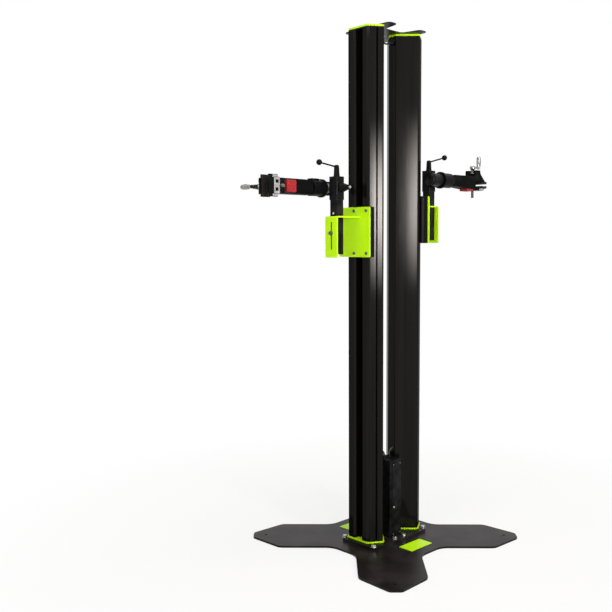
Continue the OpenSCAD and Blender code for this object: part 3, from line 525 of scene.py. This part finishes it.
# pressed plate over the fixed jaw, frame round the button, ribs on it, and the lug on the collar
jawPlate = dict(s=(240, 246, 260, 266), w=(-29, -20, -8, 8, 20, 29), open=((1, 1), (1, 3)), t=(-34.6, -33.1),
                wall=(27.3, 29), wallRound=0.3, foot=(-26.6, -25.2), footEnd=37, footRound=0.4)
buttonTrim = dict(s=(161.4, 163.5, 210.5, 212.4), w=(-23.8, -21.6, 21.6, 23.8), t=(-29.4, -27.6),
                  ribs=(176, 184, 192, 200), ribHalf=1.2, ribEnd=14, ribFrom=-38.7, ribTo=-37, ribRound=0.6)
collarLug = dict(low=(24, 25.5, -12), high=(62, 34.2, 12), edgeRound=1.2, segments=3, screws=(32, 54), wide=8,
                 screwHigh=2.4, key=3)
for side in liftAt:
    look = jawPlate
    near, far = look["s"][0], look["s"][-1]
    bm = bmesh.new()
    openPlate(bm, look["s"], look["w"], look["open"], *look["t"])
    for sign in (-1, 1):
        walls = sorted(sign * w for w in look["wall"])
        block(bm, (near, walls[0], look["t"][0]), (far, walls[1], look["foot"][1]), look["wallRound"])
        feet = sorted((sign * look["wall"][0], sign * look["footEnd"]))
        block(bm, (near, feet[0], look["foot"][0]), (far, feet[1], look["foot"][1]), look["footRound"])
    putPiece(side + "JawPlate", bm, side + "_arm", "silver", armPlace(side))
    look = buttonTrim
    bm = bmesh.new()
    openPlate(bm, look["s"], look["w"], [(1, 1)], *look["t"])
    putPiece(side + "ButtonFrame", bm, side + "_arm", "pad_rubber", armPlace(side))
    bm = bmesh.new()
    for s in look["ribs"]:
        block(bm, (s - look["ribHalf"], -look["ribEnd"], look["ribFrom"]),
              (s + look["ribHalf"], look["ribEnd"], look["ribTo"]), look["ribRound"])
    putPiece(side + "ButtonRibs", bm, side + "_button", "red_plastic", armPlace(side))
    look = collarLug
    bm = bmesh.new()
    block(bm, look["low"], look["high"], look["edgeRound"], look["segments"])
    putPiece(side + "CollarLug", bm, side + "_arm", "black_paint", armPlace(side))
    bm = bmesh.new()
    for s in look["screws"]:
        socketScrew(bm, moved(s, look["high"][1], 0) @ towardY, look["wide"], look["screwHigh"], look["key"])
    putPiece(side + "CollarScrews", bm, side + "_arm", "zinc", armPlace(side))

# brass ring and silver tip on the knob
knobTrim = dict(at=(273.5, 20.3, 256), ringSteps=36, tipSteps=30,
                ring=[(8.8, 1.6), (9.8, 2.2), (9.8, 6.2), (8.8, 6.8), (8.8, 1.6)],
                tip=[(0, 43), (4.8, 43), (4.8, 48.2), (4.2, 49.4), (2.4, 50), (0, 50.1)])
knobAt = moved(*knobTrim["at"]) @ towardY
bm = bmesh.new()
turned(bm, knobTrim["ring"], knobTrim["ringSteps"], knobAt)
bmesh.ops.remove_doubles(bm, verts=bm.verts, dist=mergeDistance)
putPiece("knobRing", bm, "left_pivot", "brass", liftPlace("left"))
bm = bmesh.new()
turned(bm, knobTrim["tip"], knobTrim["tipSteps"], knobAt)
putPiece("knobTip", bm, "left_pivot", "silver", liftPlace("left"))

# tapered sockets round the lever hubs
leverSocket = dict(at=(273.5, 0, 297.5), steps=40,
                   profile=[(0, 0), (10.8, 0), (11.6, 0.8), (11.6, 5), (10.9, 6), (9.4, 36), (8.8, 38.8), (7.4, 40.8),
                            (4.7, 42.4), (0, 43)])
for side in liftAt:
    bm = bmesh.new()
    turned(bm, leverSocket["profile"], leverSocket["steps"], moved(*leverSocket["at"]))
    putPiece(side + "LeverSocket", bm, side + "_lock", "black_paint", liftPlace(side))

# glands, cover screws and the small lamp of the control box
boxTrim = dict(glands=((-14, -10), (14, -10)), top=328, nutFlats=19, nutHigh=4, nutDome=(9.2, 4.8), nutSteps=48,
               cap=dict(foot=7.2, wide=7.5, rib=0.5, ribs=12, heights=(5.2, 9.0), steps=72),
               mouth=[(6.4, 10.6), (4.4, 11.4), (3.4, 11.4), (3.4, 10.2), (0, 10.2)],
               cover=-63, screws=[(x, z) for x in (-20, 20) for z in (33, 313)], wide=6.5, high=2, key=2.5,
               lampAt=(-16, 140), lampSteps=30,
               lamp=[(0, -0.5), (4.2, -0.5), (4.2, 0.8), (3.6, 1.2), (3.3, 1.2), (2.9, 2.2), (1.7, 2.9), (0, 3.1)])


def glandNut(a):
    return hexReach(boxTrim["nutFlats"], a)


def glandCap(a):
    return boxTrim["cap"]["wide"] + boxTrim["cap"]["rib"] * math.cos(boxTrim["cap"]["ribs"] * a)


bm = bmesh.new()
for x, y in boxTrim["glands"]:
    at = moved(x, y, boxTrim["top"])
    seat = boxTrim["nutDome"][1]
    nut = [(0, 0), (glandNut, 0), (glandNut, boxTrim["nutHigh"]), boxTrim["nutDome"], (0, seat)]
    turned(bm, nut, boxTrim["nutSteps"], at)
    ribs = [(glandCap, z) for z in boxTrim["cap"]["heights"]]
    cap = [(0, seat), (boxTrim["cap"]["foot"], seat)] + ribs + boxTrim["mouth"]
    turned(bm, cap, boxTrim["cap"]["steps"], at)
putPiece("boxGlands", bm, "frame", "black_plastic", millimetres)
bm = bmesh.new()
for x, z in boxTrim["screws"]:
    socketScrew(bm, moved(x, boxTrim["cover"], z) @ awayY, boxTrim["wide"], boxTrim["high"], boxTrim["key"])
putPiece("coverScrews", bm, "frame", "iron", millimetres)
bm = bmesh.new()
x, z = boxTrim["lampAt"]
turned(bm, boxTrim["lamp"], boxTrim["lampSteps"], moved(x, boxTrim["cover"], z) @ awayY)
putPiece("boxLamp", bm, "frame", "zinc", millimetres)
print("trim fitted")

# studio, in metres: pale floor, white behind, soft lamps
studio = dict(cameraAt=(-2.4665, -2.1264, 1.1994), heading=(0.69114, 0.72272), pitch=4.596, roll=-0.307, lens=48.33,
              sensor=36, floorSize=40, floorDrop=0.0005, floorTone=0.86, floorMottle=0.985, floorPatch=3,
              floorDetail=3, floorRough=0.75, floorSpecular=0.15, floorGlow=0.72, glowFrom=0.6, glowTo=1.8,
              skyLight=0.30, lampTone=(1, 0.965, 0.93),
              lamps={"keyLamp": dict(at=(-3.0, -0.6, 3.6), aim=(0, 0, 1), wide=2.0, high=2.0, power=42),
                     "topLamp": dict(at=(0.4, -0.8, 6.5), aim=(0, 0, 0.6), wide=3.4, high=3.4, power=225),
                     "nearStrip": dict(at=(-1.87, -2.73, 1.50), aim=(0, 0, 1.4), wide=0.36, high=1.5, power=12.5,
                                       soft=2.0, grid=70),
                     "sideStrip": dict(at=(-0.70, -3.72, 1.45), aim=(0, 0, 1.4), wide=0.60, high=1.5, power=35,
                                       soft=2.0, grid=70)})


def placeCamera(scene):
    eye = bpy.data.cameras.new("camera")
    eye.lens = studio["lens"]
    eye.sensor_width = studio["sensor"]
    view = bpy.data.objects.new("camera", eye)
    scene.collection.objects.link(view)
    tilt = math.radians(studio["pitch"])
    ahead = Vector((*studio["heading"], 0)).normalized() * math.cos(tilt) - Vector((0, 0, math.sin(tilt)))
    view.location = studio["cameraAt"]
    upright = ahead.to_track_quat("-Z", "Y").to_matrix()
    view.rotation_euler = (upright @ Matrix.Rotation(math.radians(studio["roll"]), 3, "Z")).to_euler()
    scene.camera = view


def seenRay(tree):  # what the camera sees, straight or by way of gloss or glass
    ray = addNode(tree, "ShaderNodeLightPath").outputs
    straight = sums(tree, "MAXIMUM", ray["Is Camera Ray"], ray["Is Glossy Ray"])
    return sums(tree, "MAXIMUM", straight, ray["Is Transmission Ray"])


def floorPaint():  # pale floor that turns white away from the object
    mat = bpy.data.materials.new("studioFloor")
    mat.use_nodes = True
    tree = mat.node_tree
    shader = tree.nodes["Principled BSDF"]
    coords = addNode(tree, "ShaderNodeTexCoord").outputs["Object"]
    tone = studio["floorTone"]
    speckle = spread(tree, noiseField(tree, coords, studio["floorPatch"], studio["floorDetail"]), 0, 1)
    mottle = toneMix(tree, speckle, (tone, tone, tone), (tone * studio["floorMottle"],) * 3)
    tree.links.new(mottle, shader.inputs["Base Color"])
    shader.inputs["Roughness"].default_value = studio["floorRough"]
    shader.inputs["Specular IOR Level"].default_value = studio["floorSpecular"]
    bright = addNode(tree, "ShaderNodeEmission")
    far = addNode(tree, "ShaderNodeVectorMath", operation="LENGTH")
    tree.links.new(coords, far.inputs[0])
    fade = spread(tree, far.outputs["Value"], studio["floorGlow"], 1, studio["glowFrom"], studio["glowTo"])
    blend = addNode(tree, "ShaderNodeMixShader")
    tree.links.new(sums(tree, "MULTIPLY", fade, seenRay(tree)), blend.inputs[0])
    tree.links.new(shader.outputs[0], blend.inputs[1])
    tree.links.new(bright.outputs[0], blend.inputs[2])
    tree.links.new(blend.outputs[0], tree.nodes["Material Output"].inputs["Surface"])
    return mat


def layFloor(scene):
    half = studio["floorSize"] / 2
    bm = bmesh.new()
    ring = ((-1, -1), (1, -1), (1, 1), (-1, 1))
    bm.faces.new([bm.verts.new((x * half, y * half, -studio["floorDrop"])) for x, y in ring])
    mesh = bpy.data.meshes.new("studioFloor")
    bm.to_mesh(mesh)
    bm.free()
    floor = bpy.data.objects.new("studioFloor", mesh)
    scene.collection.objects.link(floor)
    floor.data.materials.append(floorPaint())


def hangSky(scene):
    world = bpy.data.worlds.new("studioSky")
    scene.world = world
    world.use_nodes = True
    tree = world.node_tree
    sky = tree.nodes["Background"]
    sky.inputs["Color"].default_value = (1, 1, 1, 1)
    tree.links.new(spread(tree, seenRay(tree), studio["skyLight"], 1, 0, 1), sky.inputs["Strength"])


def softEnds(light, lamp):  # fades toward its upper and lower ends, and a grid keeps it off the foot
    light.spread = math.radians(lamp["grid"])
    light.use_nodes = True
    tree = light.node_tree
    height = split(tree, addNode(tree, "ShaderNodeNewGeometry").outputs["Parametric"])["Y"]
    wave = addNode(tree, "ShaderNodeMath", operation="SINE")
    tree.links.new(spread(tree, height, 0, math.pi, 0, 1), wave.inputs[0])
    power = addNode(tree, "ShaderNodeMath", operation="POWER")
    power.inputs[1].default_value = lamp["soft"]
    tree.links.new(wave.outputs[0], power.inputs[0])
    tree.links.new(power.outputs[0], tree.nodes["Emission"].inputs["Strength"])


def hangLamps(scene):
    for name, lamp in studio["lamps"].items():
        light = bpy.data.lights.new(name, "AREA")
        light.shape = "RECTANGLE"
        light.size, light.size_y = lamp["wide"], lamp["high"]
        light.energy = lamp["power"]
        light.color = studio["lampTone"]
        if "soft" in lamp:
            softEnds(light, lamp)
        stand = bpy.data.objects.new(name, light)
        stand.location = lamp["at"]
        stand.rotation_euler = (Vector(lamp["aim"]) - Vector(lamp["at"])).to_track_quat("-Z", "Y").to_euler()
        scene.collection.objects.link(stand)


bpy.context.scene.view_settings.view_transform = "Standard"
for build in (placeCamera, layFloor, hangSky, hangLamps):
    build(bpy.context.scene)
print("studio ready")
